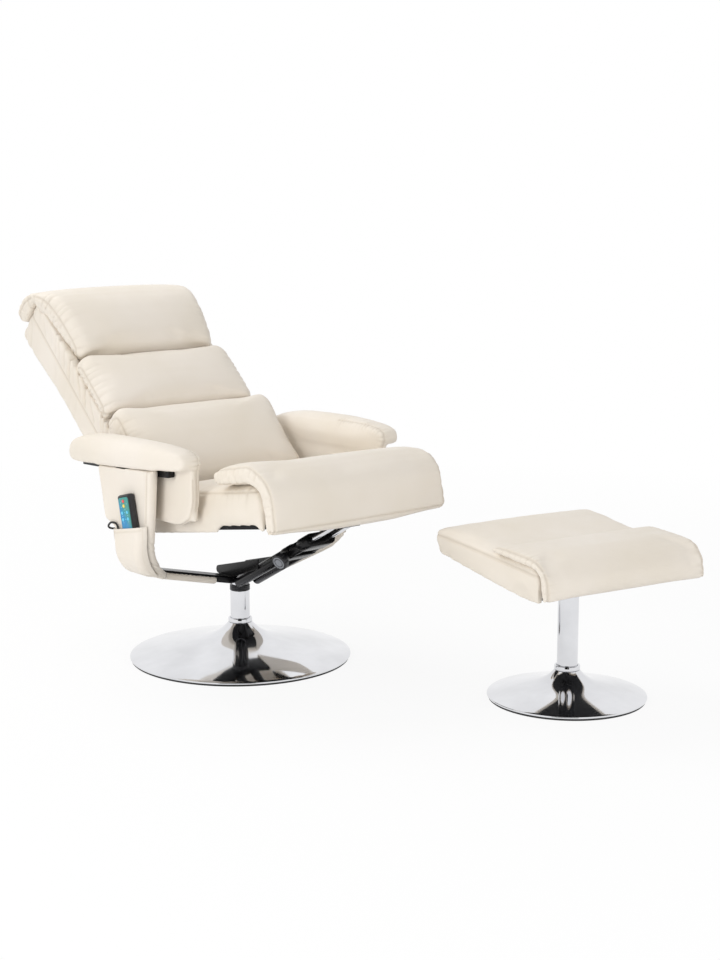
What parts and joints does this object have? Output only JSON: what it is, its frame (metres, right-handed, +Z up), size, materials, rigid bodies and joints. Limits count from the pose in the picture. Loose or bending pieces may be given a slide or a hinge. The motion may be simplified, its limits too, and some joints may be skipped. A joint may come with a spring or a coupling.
{
  "type": "reclining massage armchair with footstool",
  "caption": "Reclining swivel armchair with massage motors, deep padded cushions and arms on a round chrome pedestal, with a matching footstool and a corded handset in a side pocket.",
  "frame": {"origin": "middle of the whole set on the floor, with the cord left out", "axes": "+Z up, +Y to the rear of the chair, +X to the sitter's left"},
  "size_m": [1.0288, 1.722, 0.9223],
  "materials": {
    "cream_leather": "soft satin grain",
    "chrome": "polished",
    "black_steel": "gloss black",
    "bright_steel": "plain",
    "black_plastic": "satin",
    "black_rubber": "matt",
    "plywood": "raw",
    "black_board": "black cloth covered",
    "teal_film": "printed film",
    "red_key": "satin",
    "yellow_key": "satin",
    "blue_key": "satin"
  },
  "bodies": {
    "chair_base": {"chair_floor_ring": "black_rubber", "chair_dish": "chrome", "chair_tie_plate": "bright_steel", "chair_column": "chrome", "chair_collar": "chrome", "swivel_bush": "black_plastic"},
    "swivel_frame": {"swivel_spindle": "chrome", "carrier_frame": "black_steel", "side_panel_right": "cream_leather", "side_panel_left": "cream_leather", "arm_bracket_right": "black_steel", "arm_bracket_left": "black_steel", "arm_panel_right": "cream_leather", "arm_panel_left": "cream_leather", "arm_pad_right": "cream_leather", "arm_pad_left": "cream_leather", "slide_tube_right": "black_steel", "slide_tube_left": "black_steel", "tube_end_block": "black_steel", "clamp_sleeve": "black_steel", "handset_pocket": "cream_leather", "handset_cord": "black_rubber", "cord_grommet": "black_rubber"},
    "knob": {"recline_knob": "black_plastic"},
    "seat": {"slide_rod_right": "chrome", "slide_rod_left": "chrome", "rod_crosshead": "black_steel", "seat_board": "black_board", "seat_cushion": "cream_leather", "seat_front_roll": "cream_leather", "seat_motor_right": "black_plastic", "seat_motor_left": "black_plastic", "control_box": "black_plastic", "hinge_plate_right": "black_steel", "hinge_plate_left": "black_steel"},
    "back": {"back_shell": "cream_leather", "back_frame": "black_steel", "back_board": "plywood", "back_motor_right": "black_plastic", "back_motor_left": "black_plastic", "lumbar_cushion": "cream_leather", "middle_cushion": "cream_leather", "head_cushion": "cream_leather"},
    "handset": {"handset_shell": "black_plastic", "handset_face": "teal_film"},
    "footstool": {"stool_floor_ring": "black_rubber", "stool_dish": "chrome", "stool_tie_plate": "bright_steel", "stool_column": "chrome", "stool_collar": "chrome", "stool_mount": "black_steel", "stool_board": "black_board", "stool_cushion": "cream_leather", "stool_front_flap": "cream_leather"},
    "button_power": {"button_power": "red_key"},
    "button_heat": {"button_heat": "yellow_key"},
    "button_mode_up": {"button_mode_up": "blue_key"},
    "button_mode_down": {"button_mode_down": "blue_key"},
    "button_level_up": {"button_level_up": "blue_key"},
    "button_level_down": {"button_level_down": "blue_key"}
  },
  "joints": [
    {"name": "chair_swivel", "type": "hinge", "parent": "chair_base", "child": "swivel_frame", "pos_m": [-0.13053, 0.17783, 0.2119], "axis": [0, 0, 1], "continuous": true},
    {"name": "seat_slide", "type": "slide", "parent": "swivel_frame", "child": "seat", "axis": [0, -0.8829, 0.4695], "range_m": [-0.09, 0]},
    {"name": "back_recline", "type": "hinge", "parent": "seat", "child": "back", "pos_m": [-0.13053, 0.29137, 0.41614], "axis": [1, 0, 0], "range_deg": [0, 25.5]},
    {"name": "clamp_knob_turn", "type": "hinge", "parent": "swivel_frame", "child": "knob", "pos_m": [-0.17359, -0.07211, 0.31211], "axis": [-0.891, -0.2131, -0.4008], "range_deg": [-90, 180]},
    {"name": "handset_lift", "type": "slide", "parent": "swivel_frame", "child": "handset", "axis": [0, 0.2419, 0.9703], "range_m": [0, 0.05]},
    {"name": "footstool_slide", "type": "slide", "parent": "chair_base", "child": "footstool", "axis": [0, -1, 0], "range_m": [0, 0.4]},
    {"name": "button_power_press", "type": "slide", "parent": "handset", "child": "button_power", "axis": [1, 0, 0], "range_m": [0, 0.001], "stiffness_N_per_m": 400},
    {"name": "button_heat_press", "type": "slide", "parent": "handset", "child": "button_heat", "axis": [1, 0, 0], "range_m": [0, 0.001], "stiffness_N_per_m": 400},
    {"name": "button_mode_up_press", "type": "slide", "parent": "handset", "child": "button_mode_up", "axis": [1, 0, 0], "range_m": [0, 0.001], "stiffness_N_per_m": 400},
    {"name": "button_mode_down_press", "type": "slide", "parent": "handset", "child": "button_mode_down", "axis": [1, 0, 0], "range_m": [0, 0.001], "stiffness_N_per_m": 400},
    {"name": "button_level_up_press", "type": "slide", "parent": "handset", "child": "button_level_up", "axis": [1, 0, 0], "range_m": [0, 0.001], "stiffness_N_per_m": 400},
    {"name": "button_level_down_press", "type": "slide", "parent": "handset", "child": "button_level_down", "axis": [1, 0, 0], "range_m": [0, 0.001], "stiffness_N_per_m": 400}
  ],
  "couplings": [
    {"joint": "back_recline", "follows": "seat_slide", "rad_per_m": -4.85}
  ]
}
